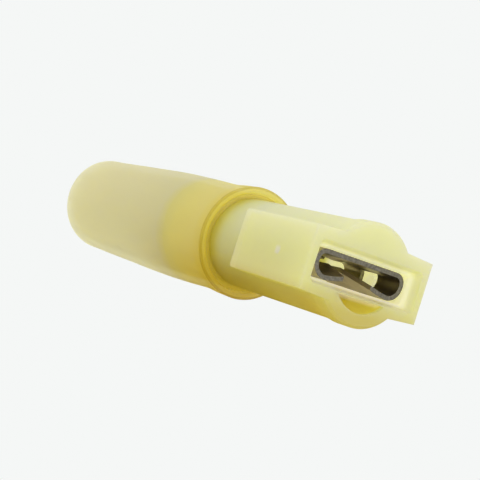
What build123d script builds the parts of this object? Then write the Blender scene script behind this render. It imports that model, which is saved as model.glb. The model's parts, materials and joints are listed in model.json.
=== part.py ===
from build123d import *

import os

# Fully insulated heat-shrink female disconnect for a 6.35 x 0.8 mm tab and 12 to 10 AWG wire, in millimetres.
# +X points out of the mouth, +Y runs across the tab, +Z points out of the flat base of the receptacle.
# The origin is the middle of the tab where it enters the front face of the housing.

# Tab and wire that the connector takes
tab_width = 6.35
tab_thickness = 0.8
conductor_diameter = 3.1

# Housing: round body, front collar and the wide block that holds the receptacle
housing_length = 24.0
body_radius = 3.48
body_axis_z = -0.16
collar_radius = 3.6
collar_length = 1.5
collar_blend = 1.3
block_length = 9.3
block_width = 10.1
block_edge_height = 4.3
block_root_height = 4.9
block_bevel_length = 1.1
block_bevel_depth = 0.22
block_edge_radius = 0.22
block_rear_radius = 0.35
mouth_width = 8.9
mouth_top = 1.23
mouth_bottom = -1.71
mouth_depth = 0.9
mouth_corner = 0.35
pocket_corner = 0.3
rear_chamfer = 0.3
recess_radius = 2.6
recess_depth = 4.0
recess_shelf = 0.1

# Receptacle, formed from one strip
stock = 0.32
receptacle_width = 7.6
receptacle_height = 2.03
receptacle_front = -0.95
receptacle_length = 6.55
base_bend_radius = 0.6
side_bend_radius = 0.95
wing_root = 2.6
wing_tip_front = 1.2
wing_tip_crest = 0.55
wing_front_rise = 0.3
wing_rear_drop = 0.1
wing_overlap = 0.1
spring_gap = 0.48
crest_setback = 3.0
side_window_front = -3.45
side_window_length = 2.0
dimple_x = -4.3
dimple_radius = 0.8
dimple_depth = 0.17

# Crimp barrel and the neck that joins it to the receptacle
barrel_inner_radius = conductor_diameter / 2
barrel_outer_radius = barrel_inner_radius + stock
barrel_axis_z = -0.78
barrel_front = -10.3
barrel_length = 7.0
seam_width = 0.08
serration_width = 0.35
serration_depth = 0.07
serration_pitch = 1.4
neck_radius = 6.0
neck_front_angle = 14
neck_rear_angle = 62
neck_overlap = 0.15

# Clearances between the terminal and its pocket
pocket_clearance = 0.05
side_clearance = 0.15
barrel_clearance = 0.05
pocket_depth = 8.0
neck_way_width = 4.3

# Wire entry behind the crimp barrel
wire_bore_radius = 2.75
wire_bore_depth = 5.2
wire_funnel_length = 0.8

# Latch nubs that snap into the side windows, and the stake marks outside them
nub_radius = 0.45
nub_reach = 0.27
nub_root_depth = 0.2
stake_sphere_radius = 0.95
stake_depth = 0.06
stake_x = -3.7
stake_z = -0.28

# Heat-shrink sleeve and its melt liner
sleeve_front = -15.3
sleeve_rear = -42.5
sleeve_wall = 0.55
liner_front_setback = 0.3
liner_rear_setback = 0.5
liner_bore_radius = 3.6
lip_radius = 0.16

# Heights of the strip: the tab lies on the inner face of the base, centred on Z = 0
base_inner = tab_thickness / 2
base_outer = base_inner + stock
wing_outer = base_outer - receptacle_height
wing_inner = wing_outer + stock
crest_z = base_inner - spring_gap
receptacle_rear = receptacle_front - receptacle_length
neck_front = receptacle_rear + neck_overlap
crest_x = receptacle_front - crest_setback
pocket_top = base_outer + pocket_clearance
pocket_bottom = wing_outer - pocket_clearance
pocket_width = receptacle_width + 2 * side_clearance
nub_x = side_window_front - side_window_length / 2
nub_z = (base_inner + wing_inner) / 2
housing_rear = -housing_length
body_axis = Axis((0, 0, body_axis_z), (1, 0, 0))
body_plane = Plane((0, 0, body_axis_z), x_dir=(1, 0, 0), z_dir=(0, -1, 0))


def across(x):
    """The plane square to the connector at x, with local axes Y and Z."""
    return Plane.YZ.offset(x)


def across_body(x):
    """The same plane, with its own origin on the axis of the round body."""
    return Plane((x, 0, body_axis_z), x_dir=(0, 1, 0), z_dir=(1, 0, 0))


def sleeve_outline(inset):
    """Points of the sleeve's outside from mouth to rear, moved inwards by inset."""
    outside = [
        (sleeve_front, 4.42),
        (sleeve_front - 1.6, 4.4),
        (sleeve_front - 3.6, 4.3),
        (sleeve_front - 7.2, 4.4),
        (sleeve_front - 11.5, 4.48),
        (sleeve_front - 19.0, 4.42),
        (sleeve_rear, 4.3),
    ]
    return [(x, radius - inset) for x, radius in outside]


def block_section(x, narrowing):
    """Hexagon of the block at x: slightly deeper at its middle than at its edges."""
    half = block_width / 2 - narrowing
    edge = block_edge_height / 2
    root = block_root_height / 2
    with BuildSketch(across_body(x)) as section:
        Polygon((0, root), (half, edge), (half, -edge), (0, -root), (-half, -edge), (-half, edge), align=None)
    return section.sketch


def slot_section(x, width, top, bottom, corner):
    """Rounded rectangle of the receptacle's way in at x."""
    with BuildSketch(across(x)) as section:
        with Locations((0, (top + bottom) / 2)):
            RectangleRounded(width, top - bottom, corner)
    return section.sketch


def disc(x, height, radius):
    """Disc at x, with its centre at height."""
    with BuildSketch(across(x)) as section:
        with Locations((0, height)):
            Circle(radius)
    return section.sketch


# Housing: one nylon moulding
with BuildPart() as housing:
    with BuildSketch(body_plane):
        with BuildLine():
            collar_rear = -collar_length
            blend_rear = collar_rear - collar_blend
            blend_middle = (collar_rear + blend_rear) / 2
            outline = Polyline(
                (0, 0),
                (housing_rear, 0),
                (housing_rear, body_radius - rear_chamfer),
                (housing_rear + rear_chamfer, body_radius),
                (blend_rear, body_radius),
            )
            blend = ThreePointArc(
                outline @ 1,
                (blend_middle, body_radius + 0.3 * (collar_radius - body_radius)),
                (collar_rear, collar_radius),
            )
            Polyline(
                blend @ 1,
                (-block_edge_radius, collar_radius),
                (0, collar_radius - block_edge_radius),
                (0, 0),
            )
        make_face()
    revolve(axis=body_axis)

    # Block, with a shallow bevel towards its back end
    block_straight = block_length - block_bevel_length
    block_middle = block_section(-block_straight, 0)
    loft((block_section(0, 0), block_middle))
    loft((block_middle, block_section(-block_length, block_bevel_depth)))
    corners = (
        housing.edges()
        .filter_by(GeomType.LINE)
        .filter_by(lambda e: abs(abs(e.center().Y) - block_width / 2) < 0.01 and e.length > 2)
    )
    fillet(corners, radius=block_edge_radius)
    rear_corners = (
        housing.edges()
        .filter_by(GeomType.LINE)
        .filter_by(lambda e: abs(e.center().X + block_length) < 0.01 and abs(e.tangent_at(0.5).Y) > 0.9)
    )
    fillet(rear_corners, radius=block_rear_radius)

    # Lead-in and pocket for the receptacle, narrowing along the neck
    mouth = slot_section(0, mouth_width, mouth_top, mouth_bottom, mouth_corner)
    throat = slot_section(-mouth_depth, pocket_width, pocket_top, pocket_bottom, pocket_corner)
    loft((mouth, throat), mode=Mode.SUBTRACT)
    extrude(throat, amount=mouth_depth - pocket_depth, mode=Mode.SUBTRACT)
    pocket_end = slot_section(-pocket_depth, pocket_width, pocket_top, pocket_bottom, pocket_corner)
    neck_way = slot_section(barrel_front, neck_way_width, pocket_top, barrel_axis_z, pocket_corner)
    loft((pocket_end, neck_way), mode=Mode.SUBTRACT)

    # Round recess under the mouth, closed on top by the thin front edge of the lead-in
    recess_top = mouth_bottom - recess_shelf
    with BuildSketch(across_body(0)):
        Circle(recess_radius)
        with Locations((0, recess_top - body_axis_z - recess_radius)):
            Rectangle(2 * recess_radius, 2 * recess_radius, mode=Mode.INTERSECT)
    extrude(amount=-recess_depth, mode=Mode.SUBTRACT)

    # Round way for the crimp barrel, and the wire entry behind it
    barrel_way_radius = barrel_outer_radius + barrel_clearance
    wire_bore_front = housing_rear + wire_bore_depth
    funnel_front = wire_bore_front + wire_funnel_length
    funnel_narrow = disc(funnel_front, barrel_axis_z, barrel_way_radius)
    funnel_wide = disc(wire_bore_front, body_axis_z, wire_bore_radius)
    extrude(funnel_wide, amount=-wire_bore_depth, mode=Mode.SUBTRACT)
    loft((funnel_narrow, funnel_wide), mode=Mode.SUBTRACT)
    extrude(funnel_narrow, amount=neck_front - funnel_front, mode=Mode.SUBTRACT)

    # Latch nubs inside, stake marks outside
    for side in (-1, 1):
        nub_root = side * (pocket_width / 2 + nub_root_depth)
        with BuildSketch(Plane((nub_x, nub_root, nub_z), x_dir=(1, 0, 0), z_dir=(0, -side, 0))):
            Circle(nub_radius)
        extrude(amount=nub_root_depth + nub_reach)
        stake_y = side * (block_width / 2 + stake_sphere_radius - stake_depth)
        with Locations((stake_x, stake_y, stake_z)):
            Sphere(stake_sphere_radius, mode=Mode.SUBTRACT)


def wing_section(x, side, tip_y, tip_z):
    """Section of one spring wing at x, from its bend to its free edge, curved towards the base."""
    root_y = side * (wing_root + wing_overlap)
    tip = side * tip_y
    middle_y = (root_y + tip) / 2
    middle_z = wing_inner + 0.38 * (tip_z - wing_inner)
    with BuildSketch(across(x)) as section:
        with BuildLine():
            upper = ThreePointArc((root_y, wing_inner), (middle_y, middle_z), (tip, tip_z))
            free_edge = Line(upper @ 1, (tip, tip_z - stock))
            lower = ThreePointArc(free_edge @ 1, (middle_y, middle_z - stock), (root_y, wing_outer))
            Line(lower @ 1, upper @ 0)
        make_face()
    return section.sketch


def dimple_cap(height):
    """Half section of the dimple's shallow dome hanging below height, with a short plug above it."""
    bottom = (dimple_x, height - dimple_depth)
    plug_top = height + stock / 2
    with BuildSketch(Plane.XZ) as section:
        with BuildLine():
            plug = Polyline(
                bottom,
                (dimple_x, plug_top),
                (dimple_x + dimple_radius, plug_top),
                (dimple_x + dimple_radius, height),
            )
            TangentArc(bottom, plug @ 1, tangent=(1, 0))
        make_face()
    return section.sketch


def strip_section(x, axis_z, outer_radius, half_angle):
    """Section of the neck at x: an arc of strip, bent about a line below it."""
    first = 90 - half_angle
    with BuildSketch(across(x)) as section:
        with BuildLine():
            outer = CenterArc((0, axis_z), outer_radius, first, 2 * half_angle)
            inner = CenterArc((0, axis_z), outer_radius - stock, first, 2 * half_angle)
            Line(outer @ 0, inner @ 0)
            Line(outer @ 1, inner @ 1)
        make_face()
    return section.sketch


# Terminal: one tinned brass stamping
with BuildPart() as terminal:
    middle_side = (receptacle_width - stock) / 2
    middle_base = base_outer - stock / 2
    middle_wing = wing_outer + stock / 2
    with BuildSketch(across(receptacle_front)):
        with BuildLine():
            FilletPolyline(
                (-wing_root, middle_wing),
                (-middle_side, middle_wing),
                (-middle_side, middle_base),
                (middle_side, middle_base),
                (middle_side, middle_wing),
                (wing_root, middle_wing),
                radius=(side_bend_radius, base_bend_radius, base_bend_radius, side_bend_radius),
            )
        trace(line_width=stock)
    extrude(amount=-receptacle_length)

    for side in (-1, 1):
        flared = wing_section(receptacle_front, side, wing_tip_front, wing_inner + wing_front_rise)
        crest = wing_section(crest_x, side, wing_tip_crest, crest_z)
        settled = wing_section(receptacle_rear, side, wing_tip_crest, crest_z - wing_rear_drop)
        loft((flared, crest), ruled=True)
        loft((crest, settled), ruled=True)

    # Side windows through both bends
    with BuildSketch(Plane.XY.offset(wing_inner)):
        with Locations((nub_x, middle_side), (nub_x, -middle_side)):
            Rectangle(side_window_length, 2 * stock)
    extrude(amount=base_inner - wing_inner, mode=Mode.SUBTRACT)

    # Dimple that drops into the hole of the tab
    dimple_axis = Axis((dimple_x, 0, 0), (0, 0, 1))
    revolve(dimple_cap(base_inner), axis=dimple_axis)
    revolve(dimple_cap(base_outer), axis=dimple_axis, mode=Mode.SUBTRACT)

    # Neck: the base narrows to a strip that curls into the top of the barrel
    flat_strip = strip_section(neck_front, base_outer - neck_radius, neck_radius, neck_front_angle)
    curled_strip = strip_section(barrel_front, barrel_axis_z, barrel_outer_radius, neck_rear_angle)
    loft((flat_strip, curled_strip))

    # Crimp barrel with its seam along the bottom and its serrations inside
    with BuildSketch(across(barrel_front)):
        with Locations((0, barrel_axis_z)):
            Circle(barrel_outer_radius)
            Circle(barrel_inner_radius, mode=Mode.SUBTRACT)
        with Locations((0, barrel_axis_z - barrel_outer_radius)):
            Rectangle(seam_width, 3 * stock, mode=Mode.SUBTRACT)
    extrude(amount=-barrel_length)
    barrel_middle = barrel_front - barrel_length / 2
    groove_radius = barrel_inner_radius + serration_depth
    for row in (-1, 0, 1):
        groove = disc(barrel_middle + row * serration_pitch, barrel_axis_z, groove_radius)
        extrude(groove, amount=-serration_width, mode=Mode.SUBTRACT)


# Sleeve: polyolefin tube shrunk onto the back of the housing
with BuildPart() as heat_shrink_sleeve:
    with BuildSketch(body_plane):
        with BuildLine():
            outside = Spline(*sleeve_outline(0))
            inside = Spline(*sleeve_outline(sleeve_wall))
            Line(outside @ 0, inside @ 0)
            Line(outside @ 1, inside @ 1)
        make_face()
    revolve(axis=body_axis)
    rims = heat_shrink_sleeve.edges().filter_by(GeomType.CIRCLE).group_by(Axis.X)
    for rim in (rims[0], rims[-1]):
        fillet(rim.sort_by(SortBy.RADIUS)[-1], radius=lip_radius)

# Liner: melt adhesive inside the sleeve, gripping the housing and standing clear of it behind
liner_front = sleeve_front - liner_front_setback
liner_rear = sleeve_rear + liner_rear_setback
with BuildPart() as adhesive_liner:
    with BuildSketch(body_plane):
        with BuildLine():
            outside = Spline(*sleeve_outline(sleeve_wall))
            bore = Polyline(
                (sleeve_front, body_radius),
                (housing_rear, body_radius),
                (housing_rear, liner_bore_radius),
                (sleeve_rear, liner_bore_radius),
            )
            Line(outside @ 0, bore @ 0)
            Line(outside @ 1, bore @ 1)
        make_face()
        with Locations(((liner_front + liner_rear) / 2, 0)):
            Rectangle(liner_front - liner_rear, 4 * body_radius, mode=Mode.INTERSECT)
    revolve(axis=body_axis)

os.makedirs("parts", exist_ok=True)

housing.part.label = "housing"
export_step(housing.part, "parts/housing.step")

terminal.part.label = "receptacle_terminal"
export_step(terminal.part, "parts/receptacle_terminal.step")

heat_shrink_sleeve.part.label = "heat_shrink_sleeve"
export_step(heat_shrink_sleeve.part, "parts/heat_shrink_sleeve.step")

adhesive_liner.part.label = "adhesive_liner"
export_step(adhesive_liner.part, "parts/adhesive_liner.step")
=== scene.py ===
import json
import math

import bpy
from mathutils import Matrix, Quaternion, Vector


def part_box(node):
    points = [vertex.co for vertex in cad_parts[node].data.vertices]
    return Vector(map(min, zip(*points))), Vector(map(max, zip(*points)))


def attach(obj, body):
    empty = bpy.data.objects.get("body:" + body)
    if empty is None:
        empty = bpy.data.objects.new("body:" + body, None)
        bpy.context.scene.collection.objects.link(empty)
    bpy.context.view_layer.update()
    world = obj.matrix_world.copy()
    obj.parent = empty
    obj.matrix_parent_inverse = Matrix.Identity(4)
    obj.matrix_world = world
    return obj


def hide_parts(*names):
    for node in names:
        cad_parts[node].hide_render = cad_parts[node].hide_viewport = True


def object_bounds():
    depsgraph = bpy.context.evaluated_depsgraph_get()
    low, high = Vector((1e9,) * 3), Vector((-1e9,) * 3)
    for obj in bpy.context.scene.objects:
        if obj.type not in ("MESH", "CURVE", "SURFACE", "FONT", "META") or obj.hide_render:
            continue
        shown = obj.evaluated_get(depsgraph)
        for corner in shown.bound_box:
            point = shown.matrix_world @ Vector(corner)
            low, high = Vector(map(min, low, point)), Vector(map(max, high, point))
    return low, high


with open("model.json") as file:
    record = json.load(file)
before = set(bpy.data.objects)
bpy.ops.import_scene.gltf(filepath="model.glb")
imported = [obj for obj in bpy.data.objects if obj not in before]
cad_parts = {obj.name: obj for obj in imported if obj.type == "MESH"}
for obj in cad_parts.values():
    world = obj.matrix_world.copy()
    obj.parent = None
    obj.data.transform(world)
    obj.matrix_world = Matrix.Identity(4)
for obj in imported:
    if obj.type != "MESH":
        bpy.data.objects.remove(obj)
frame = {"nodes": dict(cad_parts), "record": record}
cad_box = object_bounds()
nodes = frame["nodes"]
mounts = {mount["name"]: mount for mount in frame["record"]["mounts"]}
scene = bpy.context.scene
scene.view_settings.view_transform = "Standard"

MM = 0.001
BACKGROUND = (0.913, 0.930, 0.921)

# Directions and distances of the view, round a point on the connector's front half
VIEW_AZIMUTH = 58.77
VIEW_ELEVATION = -1.54
VIEW_ROLL = 17.72
VIEW_TARGET = Vector((-12.0, -3.0, -0.24)) * MM
VIEW_DISTANCE = 84.3 * MM
VIEW_LENS = 86.25

# Places along the connector and radii round its axis, in millimetres
SLEEVE_REAR, SLEEVE_FRONT = (corner[0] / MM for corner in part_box("heat_shrink_sleeve"))
HOUSING_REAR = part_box("housing")[0][0] / MM
AXIS_Z = mounts["wire_entry"]["pos_m"][2] / MM
HOUSING_RADIUS = 3.48
LINER_BORE = 3.6
SLEEVE_MOUTH_RADIUS = 4.42
SLEEVE_WALL = 0.55
SLEEVE_SINK = 0.035
GAP = 0.012
AROUND = 180

# Parts of the connector where light, shade and glow are painted on: the lowest and highest corners, in
# millimetres
BEYOND = 9
PAINTED_LIGHT_ON_TOP = ((-12, -BEYOND, 1.2), (1, BEYOND, BEYOND))
PAINTED_SHADE_BELOW = ((-30, -BEYOND, -BEYOND), (1, BEYOND, -2.9))
PAINTED_SHADE_BY_LINER = ((-30, -BEYOND, -BEYOND), (SLEEVE_FRONT + 0.3, BEYOND, BEYOND))
PAINTED_HIGHLIGHT_ON_STAKE = ((-3.85, -BEYOND, -0.43), (-3.55, BEYOND, -0.13))
PAINTED_LIGHT_IN_LEAD_IN = ((-1.4, -4.3, -1.8), (-0.12, 4.3, 1.3))
PAINTED_SHADE_IN_RECESS = ((-4.3, -2.2, -2.8), (-0.35, 2.2, -1.78))
PAINTED_GLOW_IN_POCKET = ((-9.0, -4.25, -1.75), (-0.68, 4.1, 1.1))
PAINTED_GLOW_AT_LINER = ((SLEEVE_FRONT - 6.3, -BEYOND, -BEYOND), (SLEEVE_FRONT + 0.3, BEYOND, BEYOND))


# ---------------------------------------------------------------- node helpers

def new_material(name):
    """An empty node material and its output node."""
    material = bpy.data.materials.new(name)
    material.use_nodes = True
    tree = material.node_tree
    tree.nodes.clear()
    return material, tree, tree.nodes.new("ShaderNodeOutputMaterial")


def object_place(tree):
    """The point's coordinates on the piece, whole and split into X, Y and Z."""
    place = tree.nodes.new("ShaderNodeTexCoord").outputs["Object"]
    parts = tree.nodes.new("ShaderNodeSeparateXYZ")
    tree.links.new(place, parts.inputs["Vector"])
    return place, parts.outputs


def noise(tree, scale, detail=3.0, stretch=(1, 1, 1)):
    """Noise over the piece's own coordinates, in cells per metre, stretched along its axes."""
    place = tree.nodes.new("ShaderNodeTexCoord")
    mapping = tree.nodes.new("ShaderNodeMapping")
    mapping.inputs["Scale"].default_value = stretch
    texture = tree.nodes.new("ShaderNodeTexNoise")
    texture.inputs["Scale"].default_value = scale
    texture.inputs["Detail"].default_value = detail
    tree.links.new(place.outputs["Object"], mapping.inputs["Vector"])
    tree.links.new(mapping.outputs["Vector"], texture.inputs["Vector"])
    return texture.outputs["Fac"]


def ranged(tree, value, start, end, low=0.0, high=1.0):
    """Maps value from the range start to end onto the range low to high, and stops at its ends."""
    ranger = tree.nodes.new("ShaderNodeMapRange")
    ranger.inputs["From Min"].default_value = start
    ranger.inputs["From Max"].default_value = end
    ranger.inputs["To Min"].default_value = low
    ranger.inputs["To Max"].default_value = high
    tree.links.new(value, ranger.inputs["Value"])
    return ranger.outputs["Result"]


def spread(tree, value, low, high):
    """Maps noise, which keeps near its middle, onto the range from low to high."""
    return ranged(tree, value, 0.3, 0.7, low, high)


def calculated(tree, operation, *values):
    """The result of a Math node whose inputs are numbers or sockets."""
    node = tree.nodes.new("ShaderNodeMath")
    node.operation = operation
    for index, value in enumerate(values):
        if isinstance(value, (int, float)):
            node.inputs[index].default_value = value
        else:
            tree.links.new(value, node.inputs[index])
    return node.outputs["Value"]


def blend_colours(tree, factor, first, second):
    """A colour between first and second, each given as numbers or as a socket."""
    mix = tree.nodes.new("ShaderNodeMix")
    mix.data_type = "RGBA"
    for name, colour in (("A", first), ("B", second)):
        if isinstance(colour, tuple):
            mix.inputs[name].default_value = (*colour, 1)
        else:
            tree.links.new(colour, mix.inputs[name])
    tree.links.new(factor, mix.inputs["Factor"])
    return mix.outputs["Result"]


def blend_shaders(tree, share, first, second):
    """A shader that is second by share, a number or a socket, and first for the rest."""
    mix = tree.nodes.new("ShaderNodeMixShader")
    if isinstance(share, (int, float)):
        mix.inputs["Fac"].default_value = share
    else:
        tree.links.new(share, mix.inputs["Fac"])
    tree.links.new(first, mix.inputs[1])
    tree.links.new(second, mix.inputs[2])
    return mix.outputs["Shader"]


def worn_surface(tree, edge_radius, height, depth):
    """A normal for softened edges and a surface whose height varies by depth metres."""
    edges = tree.nodes.new("ShaderNodeBevel")
    edges.samples = 4
    edges.inputs["Radius"].default_value = edge_radius
    bump = tree.nodes.new("ShaderNodeBump")
    bump.inputs["Strength"].default_value = 1.0
    bump.inputs["Distance"].default_value = depth
    tree.links.new(height, bump.inputs["Height"])
    tree.links.new(edges.outputs["Normal"], bump.inputs["Normal"])
    return bump.outputs["Normal"]


def within(tree, box, soft):
    """1 inside the box, falling to 0 over the distance soft outside it, in millimetres."""
    low, high = box
    parts = object_place(tree)[1]
    share = None
    for axis, near, far in zip("XYZ", low, high):
        for start, end in ((near - soft, near), (far + soft, far)):
            side = ranged(tree, parts[axis], start * MM, end * MM)
            share = side if share is None else calculated(tree, "MULTIPLY", share, side)
    return share


# ---------------------------------------------------------------- colours that change over a piece

def cloudy(first, second):
    """A colour that drifts between two, in clouds drawn out along the connector."""
    def build(tree):
        clouds = noise(tree, scale=260.0, stretch=(0.5, 1, 1))
        return blend_colours(tree, spread(tree, clouds, 0, 1), first, second)
    return build


def shifted(colour, box, soft, mark):
    """The colour that another function makes, turned to mark inside a box with soft sides."""
    def build(tree):
        return blend_colours(tree, within(tree, box, soft), colour(tree), mark)
    return build


def rimmed(colour, radius, front, direction, mark):
    """The colour that another function makes, turned to mark on the round edge where radius meets front.

    direction is 1 for the outer edge of a ring's front end and -1 for its inner edge.
    """
    def build(tree):
        place, parts = object_place(tree)
        flat = tree.nodes.new("ShaderNodeVectorMath")
        flat.operation = "MULTIPLY"
        flat.inputs[1].default_value = (0, 1, 1)
        tree.links.new(place, flat.inputs[0])
        distance = tree.nodes.new("ShaderNodeVectorMath")
        distance.operation = "DISTANCE"
        distance.inputs[1].default_value = (0, 0, AXIS_Z * MM)
        tree.links.new(flat.outputs["Vector"], distance.inputs[0])
        reach = calculated(tree, "MULTIPLY_ADD", distance.outputs["Value"], direction, parts["X"])
        corner = front + direction * radius
        fades_in = corner - 0.24
        full = corner - 0.13
        share = ranged(tree, reach, fades_in * MM, full * MM)
        return blend_colours(tree, share, colour(tree), mark)
    return build


def along(stops):
    """A colour that changes along the connector, in stops of (place in millimetres, colour), rear first."""
    rear = stops[0][0]
    mouth = stops[-1][0]

    def build(tree):
        parts = object_place(tree)[1]
        drift = calculated(tree, "MULTIPLY_ADD", noise(tree, scale=400.0), 0.9 * MM, parts["X"])
        ramp = tree.nodes.new("ShaderNodeValToRGB")
        elements = ramp.color_ramp.elements
        while len(elements) < len(stops):
            elements.new(0.5)
        for element, (x, shade) in zip(elements, stops):
            element.position = (x - rear) / (mouth - rear)
            element.color = (*shade, 1)
        tree.links.new(ranged(tree, drift, rear * MM, mouth * MM), ramp.inputs["Fac"])
        return ramp.outputs["Color"]
    return build


# ---------------------------------------------------------------- materials

def plastic(name, colour, glow_colour, glow, clear, radius, rough, grain_depth):
    """Cloudy plastic: light scatters in it, glows through thin walls, and may pass straight through.

    colour and glow_colour are functions that add nodes to a tree and return the colour's socket.
    """
    material, tree, output = new_material(name)
    shader = tree.nodes.new("ShaderNodeBsdfPrincipled")
    shader.inputs["IOR"].default_value = 1.5
    shader.inputs["Subsurface Weight"].default_value = 1.0
    shader.inputs["Subsurface Radius"].default_value = radius
    shader.inputs["Subsurface Scale"].default_value = MM
    tree.links.new(colour(tree), shader.inputs["Base Color"])
    smears = noise(tree, scale=900.0, stretch=(0.3, 1, 1))
    tree.links.new(spread(tree, smears, rough - 0.04, rough + 0.04), shader.inputs["Roughness"])
    grain = noise(tree, scale=6000.0, detail=4.0)
    tree.links.new(worn_surface(tree, 0.12 * MM, grain, grain_depth), shader.inputs["Normal"])
    through = tree.nodes.new("ShaderNodeBsdfTranslucent")
    tree.links.new(glow_colour(tree), through.inputs["Color"])
    straight = tree.nodes.new("ShaderNodeBsdfTransparent")
    straight.inputs["Color"].default_value = (1.0, 0.98, 0.86, 1)
    glowing = blend_shaders(tree, glow, shader.outputs["BSDF"], through.outputs["BSDF"])
    whole = blend_shaders(tree, clear, glowing, straight.outputs["BSDF"])
    tree.links.new(whole, output.inputs["Surface"])
    return material


def lit_from_inside(material, box, soft, colour, strength):
    """Makes a material give off light inside a box, in place of light that comes through thin walls."""
    tree = material.node_tree
    shader = next(node for node in tree.nodes if node.type == "BSDF_PRINCIPLED")
    shader.inputs["Emission Color"].default_value = (*colour, 1)
    power = calculated(tree, "MULTIPLY", within(tree, box, soft), strength)
    tree.links.new(power, shader.inputs["Emission Strength"])


def nylon_yellow():
    """The housing: painted light makes it paler on top, in its mouth and on the stake mark; painted shade makes
    it deeper underneath, in the recess and beside the liner; and a painted glow lights its pocket.
    """
    colour = cloudy((0.86, 0.91, 0.47), (0.84, 0.88, 0.42))
    # Painted light: the upper side is paler, where the light from above falls on it.
    colour = shifted(colour, PAINTED_LIGHT_ON_TOP, 1.4, (0.86, 0.90, 0.58))
    # Painted highlight: a pale spot on the stake mark, where its dimple catches the light.
    colour = shifted(colour, PAINTED_HIGHLIGHT_ON_STAKE, 0.22, (1.0, 1.0, 0.86))
    # Painted shade: deeper yellow where the housing runs inside the sleeve and liner, and just in front of
    # them.
    colour = shifted(colour, PAINTED_SHADE_BY_LINER, 1.3, (0.84, 0.76, 0.17))
    # Painted shade: darker underneath, away from the light above.
    colour = shifted(colour, PAINTED_SHADE_BELOW, 1.2, (0.64, 0.59, 0.24))
    # Painted light: paler in the lead-in of the mouth, where light falls into it.
    colour = shifted(colour, PAINTED_LIGHT_IN_LEAD_IN, 0.1, (0.87, 0.90, 0.60))
    # Painted shade: deep yellow in the recess under the mouth.
    colour = shifted(colour, PAINTED_SHADE_IN_RECESS, 0.06, (0.82, 0.68, 0.08))
    material = plastic("nylon_yellow", colour, cloudy((0.95, 0.91, 0.36), (0.94, 0.89, 0.30)), glow=0.36,
                       clear=0.0, radius=(5.0, 4.7, 2.0), rough=0.38, grain_depth=0.002 * MM)
    # Painted light: the pocket round the terminal glows, standing for light through its thin walls.
    lit_from_inside(material, PAINTED_GLOW_IN_POCKET, 0.35, (0.90, 0.89, 0.90), 0.42)
    return material


def polyolefin_yellow():
    """The sleeve: pale and milky, with painted shade in a deeper band behind its mouth, where the housing lies
    inside, and on a darker lip.
    """
    rear = SLEEVE_REAR - 0.5
    band_rear = SLEEVE_FRONT - 7.3
    band = SLEEVE_FRONT - 5.9
    band_front = SLEEVE_FRONT - 0.9
    mouth = SLEEVE_FRONT + 0.3
    # Painted shade: deeper yellow from the band to the mouth, where the housing lies inside the sleeve; paler
    # and milky further back.
    colour = along(((rear, (0.97, 0.96, 0.70)), (band_rear, (0.97, 0.96, 0.64)),
                    (band, (0.95, 0.93, 0.40)), (band_front, (0.93, 0.90, 0.38)),
                    (mouth, (0.92, 0.86, 0.26))))
    # Painted shade: the glow colour deepens the same way, from the band to the mouth.
    glow_colour = along(((rear, (0.98, 0.96, 0.70)), (band_rear, (0.98, 0.96, 0.64)),
                         (band, (0.97, 0.94, 0.32)), (band_front, (0.96, 0.91, 0.24)),
                         (mouth, (0.96, 0.85, 0.10))))
    # Painted shade: the round outer edge of the lip is darker, in both colour and glow colour.
    return plastic("polyolefin_yellow",
                   rimmed(colour, SLEEVE_MOUTH_RADIUS, SLEEVE_FRONT, 1, (0.60, 0.50, 0.10)),
                   rimmed(glow_colour, SLEEVE_MOUTH_RADIUS, SLEEVE_FRONT, 1, (0.62, 0.49, 0.04)),
                   glow=0.50, clear=0.20, radius=(5.0, 4.8, 3.0), rough=0.38, grain_depth=0.002 * MM)


def hot_melt_adhesive():
    """The liner: clearer and glossier than the sleeve, with a painted highlight where it meets the housing and
    a painted glow near its front.
    """
    # Painted highlight: a pale edge where the liner meets the housing.
    colour = rimmed(cloudy((0.96, 0.93, 0.60), (0.95, 0.91, 0.52)), HOUSING_RADIUS, SLEEVE_FRONT - 0.05, -1,
                    (1.0, 0.99, 0.80))
    material = plastic("hot_melt_adhesive", colour, cloudy((0.98, 0.94, 0.50), (0.97, 0.92, 0.44)), glow=0.50,
                       clear=0.34, radius=(5.0, 4.8, 2.6), rough=0.15, grain_depth=0.001 * MM)
    # Painted light: the liner's front part glows yellow, standing for light through the sleeve's lip.
    lit_from_inside(material, PAINTED_GLOW_AT_LINER, 0.7, (0.88, 0.74, 0.06), 0.20)
    return material


def tinned_brass():
    """Rolled strip with a tin finish: fine lines along the strip, dull patches and darker sheared ends."""
    material, tree, output = new_material("tinned_brass")
    shader = tree.nodes.new("ShaderNodeBsdfPrincipled")
    shader.inputs["Metallic"].default_value = 1.0
    patches = noise(tree, scale=700.0)
    rolled = blend_colours(tree, spread(tree, patches, 0, 1), (0.33, 0.29, 0.21), (0.44, 0.39, 0.29))
    torn = noise(tree, scale=5200.0, detail=4.0)
    cut = blend_colours(tree, spread(tree, torn, 0, 1), (0.13, 0.12, 0.095), (0.27, 0.25, 0.21))
    facing = tree.nodes.new("ShaderNodeSeparateXYZ")
    tree.links.new(tree.nodes.new("ShaderNodeTexCoord").outputs["Normal"], facing.inputs["Vector"])
    sheared = ranged(tree, facing.outputs["X"], 0.7, 0.95)
    tree.links.new(blend_colours(tree, sheared, rolled, cut), shader.inputs["Base Color"])
    lines = noise(tree, scale=9000.0, stretch=(0.06, 1, 1))
    tree.links.new(spread(tree, lines, 0.30, 0.48), shader.inputs["Roughness"])
    tree.links.new(worn_surface(tree, 0.06 * MM, lines, 0.002 * MM), shader.inputs["Normal"])
    tree.links.new(shader.outputs["BSDF"], output.inputs["Surface"])
    return material


def give(node, material):
    """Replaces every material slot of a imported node."""
    mesh = nodes[node].data
    for index in range(len(mesh.materials)):
        mesh.materials[index] = material


# ---------------------------------------------------------------- sleeve and liner

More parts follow.
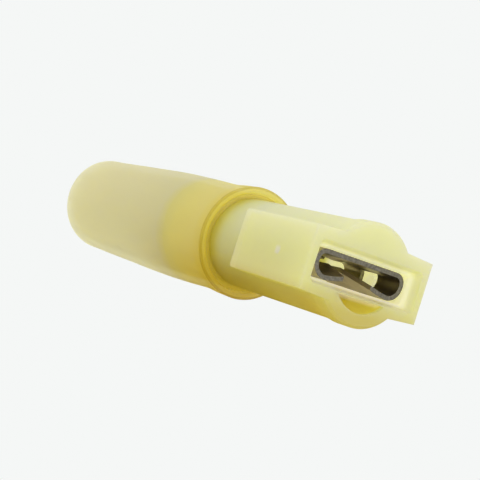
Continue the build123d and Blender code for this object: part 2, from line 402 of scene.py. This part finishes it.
# Distance along the connector and radius of the sleeve's outside
OUTLINE = (
    (SLEEVE_FRONT, SLEEVE_MOUTH_RADIUS),
    (SLEEVE_FRONT - 1.6, 4.4),
    (SLEEVE_FRONT - 3.6, 4.3),
    (SLEEVE_FRONT - 7.2, 4.4),
    (SLEEVE_FRONT - 11.5, 4.48),
    (SLEEVE_FRONT - 19.0, 4.42),
    (SLEEVE_REAR, 4.3),
)


def outline_radius(x):
    """Radius of the sleeve's outside at x, on a smooth curve through the outline's points."""
    index = 0
    while index < len(OUTLINE) - 2 and x < OUTLINE[index + 1][0]:
        index += 1
    before = OUTLINE[max(index - 1, 0)]
    start = OUTLINE[index]
    end = OUTLINE[index + 1]
    after = OUTLINE[min(index + 2, len(OUTLINE) - 1)]
    span = end[0] - start[0]
    t = (x - start[0]) / span
    slope_start = (end[1] - before[1]) / (end[0] - before[0]) * span
    slope_end = (after[1] - start[1]) / (after[0] - start[0]) * span
    cube = t * t * t
    square = t * t
    return ((2 * cube - 3 * square + 1) * start[1] + (cube - 2 * square + t) * slope_start
            + (3 * square - 2 * cube) * end[1] + (cube - square) * slope_end)


def drawn_in(x, angle):
    """How far, in millimetres, hand shrinking has drawn the tube in at this place."""
    wave = (math.sin(2 * angle + 0.21 * x) + 0.6 * math.sin(3 * angle - 0.37 * x + 1.3)
            + 0.4 * math.sin(5 * angle + 0.83 * x + 0.4))
    return SLEEVE_SINK * (0.5 + 0.25 * wave)


def lathe(name, profile, material, node):
    """A closed ring in place of a CAD node, turned from profile(angle), a loop of (x, radius)."""
    verts = []
    faces = []
    for step in range(AROUND):
        angle = 2 * math.pi * step / AROUND
        loop = profile(angle)
        for x, radius in loop:
            y = radius * math.cos(angle)
            z = AXIS_Z + radius * math.sin(angle)
            verts.append((x * MM, y * MM, z * MM))
    count = len(loop)
    for step in range(AROUND):
        here = step * count
        there = (step + 1) % AROUND * count
        for index in range(count):
            following = (index + 1) % count
            faces.append((here + index, here + following, there + following, there + index))
    mesh = bpy.data.meshes.new(name)
    mesh.from_pydata(verts, [], faces)
    mesh.materials.append(material)
    for polygon in mesh.polygons:
        polygon.use_smooth = True
    piece = bpy.data.objects.new(name, mesh)
    scene.collection.objects.link(piece)
    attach(piece, "root")
    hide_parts(node)


def arc(x, radius, size, first, last, steps):
    """Points of a round edge about (x, radius), from first to last in degrees, 0 being along +X."""
    points = []
    for step in range(steps + 1):
        turn = math.radians(first + (last - first) * step / steps)
        points.append((x + size * math.cos(turn), radius + size * math.sin(turn)))
    return points


def sleeve_profile(angle):
    """The tube's wall with a full round lip at the mouth and a softer cut at the rear."""
    lip = 0.15
    cut = 0.12
    stations = 70
    front_radius = outline_radius(SLEEVE_FRONT)
    rear_radius = outline_radius(SLEEVE_REAR)
    front = SLEEVE_FRONT - lip
    rear = SLEEVE_REAR + cut
    places = [front + (rear - front) * step / stations for step in range(1, stations)]
    points = arc(front, front_radius - SLEEVE_WALL + lip, lip, 270, 360, 6)
    points += arc(front, front_radius - lip, lip, 0, 90, 6)
    for x in places:
        points.append((x, outline_radius(x) - drawn_in(x, angle)))
    points += arc(rear, rear_radius - cut, cut, 90, 180, 4)
    points += arc(rear, rear_radius - SLEEVE_WALL + cut, cut, 180, 270, 4)
    for x in reversed(places):
        points.append((x, outline_radius(x) - SLEEVE_WALL - drawn_in(x, angle)))
    return points


def liner_profile(angle):
    """The adhesive's wall, with a hollow, uneven edge where it wets the sleeve and the housing."""
    creep = 0.10 * math.sin(3 * angle + 0.5) + 0.06 * math.sin(7 * angle + 2.0) + 0.04 * math.sin(11 * angle)
    front = SLEEVE_FRONT - 0.17 + 0.4 * creep
    rear = SLEEVE_REAR + 0.62 + 0.3 * creep
    steps = 8
    stations = 60

    def outer(x):
        return outline_radius(x) - SLEEVE_WALL - GAP - drawn_in(x, angle)

    grip = HOUSING_RADIUS + GAP
    points = []
    for step in range(steps + 1):
        share = step / steps
        hollow = 0.07 * math.sin(math.pi * share)
        points.append((front - hollow, grip + (outer(front) - grip) * share))
    for step in range(1, stations):
        x = front + (rear - front) * step / stations
        points.append((x, outer(x)))
    points += [(rear, outer(rear)), (rear - 0.03, (outer(rear) + LINER_BORE) / 2), (rear, LINER_BORE)]
    points += [(-38, LINER_BORE), (-34, LINER_BORE + 0.02), (-30, LINER_BORE), (-26, LINER_BORE + 0.01)]
    points += [(HOUSING_REAR - 0.08, LINER_BORE - 0.01), (HOUSING_REAR - GAP, grip)]
    points += [(-20, grip), (-17.5, grip)]
    return points


give("housing", nylon_yellow())
give("receptacle_terminal", tinned_brass())
lathe("sleeve_tube", sleeve_profile, polyolefin_yellow(), "heat_shrink_sleeve")
lathe("melt_liner", liner_profile, hot_melt_adhesive(), "adhesive_liner")


# ---------------------------------------------------------------- camera

def make_camera():
    """The camera, turned about its own axis as well as aimed."""
    azimuth = math.radians(VIEW_AZIMUTH)
    elevation = math.radians(VIEW_ELEVATION)
    back = Vector((
        math.sin(azimuth) * math.cos(elevation),
        -math.cos(azimuth) * math.cos(elevation),
        math.sin(elevation),
    ))
    data = bpy.data.cameras.new("camera")
    data.lens = VIEW_LENS
    data.sensor_width = 36.0
    data.clip_start = 1 * MM
    data.clip_end = 10.0
    camera = bpy.data.objects.new("camera", data)
    camera.rotation_mode = "QUATERNION"
    camera.location = VIEW_TARGET + back * VIEW_DISTANCE
    aim = (-back).to_track_quat("-Z", "Y")
    camera.rotation_quaternion = aim @ Quaternion((0, 0, 1), math.radians(VIEW_ROLL))
    scene.collection.objects.link(camera)
    scene.camera = camera
    return camera


camera = make_camera()
up = camera.rotation_quaternion @ Vector((0, 1, 0))
right = camera.rotation_quaternion @ Vector((1, 0, 0))
towards = camera.rotation_quaternion @ Vector((0, 0, 1))


# ---------------------------------------------------------------- light and floor

def show_by_ray(tree, seen, lighting, output):
    """Shows the camera one shader and every other ray another."""
    rays = tree.nodes.new("ShaderNodeLightPath")
    shown = blend_shaders(tree, rays.outputs["Is Camera Ray"], lighting, seen)
    tree.links.new(shown, output.inputs["Surface"])


def make_world():
    """A surround that the camera sees as one pale colour, and whose light is stronger from above."""
    world = bpy.data.worlds.new("surround")
    scene.world = world
    world.use_nodes = True
    tree = world.node_tree
    tree.nodes.clear()
    output = tree.nodes.new("ShaderNodeOutputWorld")
    seen = tree.nodes.new("ShaderNodeBackground")
    seen.inputs["Color"].default_value = (*BACKGROUND, 1)
    lighting = tree.nodes.new("ShaderNodeBackground")
    lighting.inputs["Color"].default_value = (1.0, 1.0, 0.99, 1)
    place = tree.nodes.new("ShaderNodeTexCoord")
    height = tree.nodes.new("ShaderNodeVectorMath")
    height.operation = "DOT_PRODUCT"
    height.inputs[1].default_value = up
    tree.links.new(place.outputs["Generated"], height.inputs[0])
    tree.links.new(ranged(tree, height.outputs["Value"], -1, 1, 0.74, 0.96), lighting.inputs["Strength"])
    show_by_ray(tree, seen.outputs["Background"], lighting.outputs["Background"], output)


def make_floor():
    """A level floor that the camera sees as one pale colour, and whose light is yellow near the part."""
    half = 1.5
    height = cad_box[0].z - 0.02 * MM
    warm_centre = (-11 * MM, 0, height)
    warm_radius = 5 * MM
    pale_radius = 20 * MM
    mesh = bpy.data.meshes.new("floor")
    corners = [(-half, -half, height), (half, -half, height), (half, half, height), (-half, half, height)]
    mesh.from_pydata(corners, [], [(0, 1, 2, 3)])
    floor = bpy.data.objects.new("floor", mesh)
    scene.collection.objects.link(floor)
    material, tree, output = new_material("pale_floor")
    seen = tree.nodes.new("ShaderNodeEmission")
    seen.inputs["Color"].default_value = (*BACKGROUND, 1)
    lighting = tree.nodes.new("ShaderNodeEmission")
    away = tree.nodes.new("ShaderNodeVectorMath")
    away.operation = "DISTANCE"
    away.inputs[1].default_value = warm_centre
    tree.links.new(object_place(tree)[0], away.inputs[0])
    reach = ranged(tree, away.outputs["Value"], warm_radius, pale_radius)
    reach.node.interpolation_type = "SMOOTHSTEP"
    tree.links.new(blend_colours(tree, reach, (0.58, 0.42, 0.07), (0.86, 0.86, 0.78)), lighting.inputs["Color"])
    show_by_ray(tree, seen.outputs["Emission"], lighting.outputs["Emission"], output)
    mesh.materials.append(material)


def softbox(name, direction, distance, size, power):
    """A square area light that faces the view's target."""
    data = bpy.data.lights.new(name, "AREA")
    data.size = size
    data.energy = power
    light = bpy.data.objects.new(name, data)
    light.location = VIEW_TARGET + direction.normalized() * distance
    light.rotation_mode = "QUATERNION"
    light.rotation_quaternion = (-direction).to_track_quat("-Z", "Y")
    scene.collection.objects.link(light)


make_world()
make_floor()
softbox("top_softbox", up + towards * 0.25 - right * 0.2, distance=0.30, size=0.22, power=0.07)
softbox("front_softbox", towards + up * 0.4 + right * 0.9, distance=0.35, size=0.2, power=0.11)
